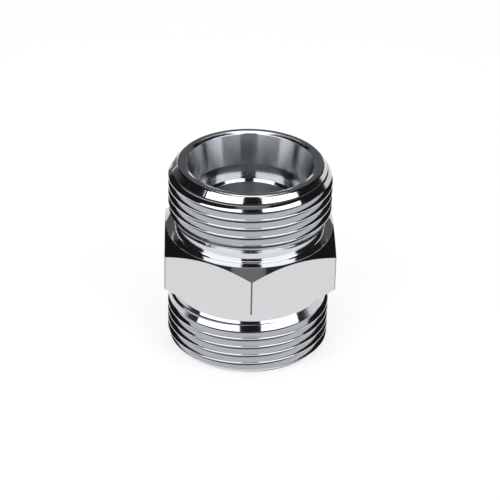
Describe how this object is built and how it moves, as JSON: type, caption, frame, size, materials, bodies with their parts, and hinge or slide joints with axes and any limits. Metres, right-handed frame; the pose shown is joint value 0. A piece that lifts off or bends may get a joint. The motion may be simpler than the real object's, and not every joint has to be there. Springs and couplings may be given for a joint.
{
  "type": "straight tube adapter",
  "caption": "Straight adapter for metal tube: hexagon body with a threaded end, cone and tube socket on each side and a through bore.",
  "frame": {"origin": "centre of the lower end face, which the adapter stands on", "axes": "+Z along the bore, from the lower end to the upper end; -Y towards a corner of the hexagon, +X towards a flat"},
  "size_m": [0.027, 0.0312, 0.0316],
  "materials": {
    "plated_steel": "bright zinc plate on turned steel"
  },
  "bodies": {
    "root": {"adapter_body": "plated_steel"}
  },
  "joints": []
}
